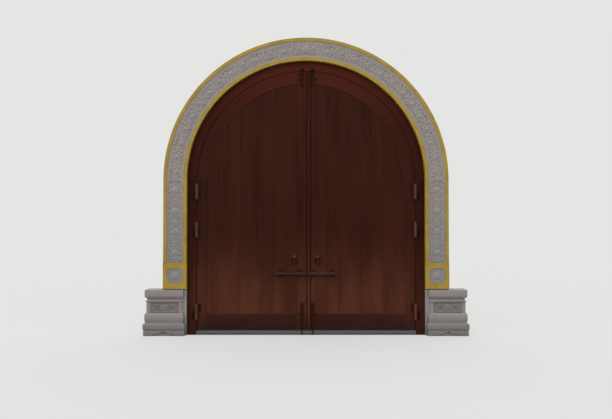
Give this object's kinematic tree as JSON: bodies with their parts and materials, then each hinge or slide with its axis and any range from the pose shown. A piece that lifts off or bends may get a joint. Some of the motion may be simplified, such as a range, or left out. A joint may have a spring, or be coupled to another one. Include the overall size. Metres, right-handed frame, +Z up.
{
  "type": "arched two-leaf wooden gate in a carved stone surround",
  "caption": "Round-arched double-leaf board gate in a rebated wooden frame, set in a carved stone surround with gilt mouldings, on moulded plinths, with lift-off hinges, bolts and ring pulls.",
  "frame": {"origin": "on the ground at the middle of the gateway, in line with the front face of the wooden frame, on the underside of the sill", "axes": "+X to the right seen from the front, +Y into the gateway (the front faces -Y), +Z up"},
  "size_m": [5.13, 0.27, 4.727],
  "materials": {
    "carved_stone": "matte",
    "plinth_stone": "matte",
    "sill_stone": "matte",
    "gilding": "satin",
    "frame_wood": "satin",
    "leaf_wood": "satin",
    "ironwork": "satin"
  },
  "bodies": {
    "root": {"arch_stone_1": "carved_stone", "arch_stone_2": "carved_stone", "arch_stone_3": "carved_stone", "arch_stone_4": "carved_stone", "arch_stone_5": "carved_stone", "arch_stone_6": "carved_stone", "arch_stone_7": "carved_stone", "inner_gilt_arch": "gilding", "left_frame_hinges": "ironwork", "left_gilt_panel_frame": "gilding", "left_head": "frame_wood", "left_inner_gilt_leg": "gilding", "left_leg_stone": "carved_stone", "left_medallion_stone": "carved_stone", "left_outer_gilt_leg": "gilding", "left_plinth": "plinth_stone", "left_post": "frame_wood", "outer_gilt_arch": "gilding", "right_frame_hinges": "ironwork", "right_gilt_panel_frame": "gilding", "right_head": "frame_wood", "right_inner_gilt_leg": "gilding", "right_leg_stone": "carved_stone", "right_medallion_stone": "carved_stone", "right_outer_gilt_leg": "gilding", "right_plinth": "plinth_stone", "right_post": "frame_wood", "sill": "sill_stone", "top_keepers": "ironwork"},
    "left_leaf": {"left_hinge_stile": "leaf_wood", "left_meeting_stile": "leaf_wood", "left_arched_rail": "leaf_wood", "left_bottom_rail": "leaf_wood", "left_boards": "leaf_wood", "left_ledges": "leaf_wood", "left_leaf_hinges": "ironwork", "left_foot_bolt_plate": "ironwork", "left_top_bolt_plate": "ironwork", "left_pull_rose": "ironwork", "slide_bolt_guides": "ironwork"},
    "right_leaf": {"right_hinge_stile": "leaf_wood", "right_meeting_stile": "leaf_wood", "right_arched_rail": "leaf_wood", "right_bottom_rail": "leaf_wood", "right_boards": "leaf_wood", "right_ledges": "leaf_wood", "right_leaf_hinges": "ironwork", "right_foot_bolt_plate": "ironwork", "right_top_bolt_plate": "ironwork", "right_pull_rose": "ironwork", "slide_bolt_receiver": "ironwork", "cover_strip": "leaf_wood"},
    "left_foot_bolt": {"left_foot_bolt": "ironwork"},
    "left_top_bolt": {"left_top_bolt": "ironwork"},
    "left_ring": {"left_pull_ring": "ironwork"},
    "right_foot_bolt": {"right_foot_bolt": "ironwork"},
    "right_top_bolt": {"right_top_bolt": "ironwork"},
    "right_ring": {"right_pull_ring": "ironwork"},
    "slide_bolt": {"slide_bolt": "ironwork"}
  },
  "joints": [
    {"name": "left_leaf_hinge", "type": "hinge", "parent": "root", "child": "left_leaf", "pos_m": [-1.736, -0.026, 1.668], "axis": [0, 0, -1], "range_deg": [0, 105]},
    {"name": "right_leaf_hinge", "type": "hinge", "parent": "root", "child": "right_leaf", "pos_m": [1.736, -0.026, 1.668], "axis": [0, 0, 1], "range_deg": [0, 105]},
    {"name": "slide_bolt_throw", "type": "slide", "parent": "left_leaf", "child": "slide_bolt", "axis": [1, 0, 0], "range_m": [0, 0.04]},
    {"name": "left_foot_bolt_lift", "type": "slide", "parent": "left_leaf", "child": "left_foot_bolt", "axis": [0, 0, 1], "range_m": [0, 0.1]},
    {"name": "left_top_bolt_throw", "type": "slide", "parent": "left_leaf", "child": "left_top_bolt", "axis": [0, 0, 1], "range_m": [0, 0.04]},
    {"name": "left_ring_lift", "type": "hinge", "parent": "left_leaf", "child": "left_ring", "pos_m": [-0.1843, -0.022, 1.224], "axis": [-1, 0, 0], "range_deg": [0, 80]},
    {"name": "right_foot_bolt_lift", "type": "slide", "parent": "right_leaf", "child": "right_foot_bolt", "axis": [0, 0, 1], "range_m": [0, 0.1]},
    {"name": "right_top_bolt_throw", "type": "slide", "parent": "right_leaf", "child": "right_top_bolt", "axis": [0, 0, 1], "range_m": [0, 0.04]},
    {"name": "right_ring_lift", "type": "hinge", "parent": "right_leaf", "child": "right_ring", "pos_m": [0.1873, -0.022, 1.224], "axis": [-1, 0, 0], "range_deg": [0, 80]}
  ]
}
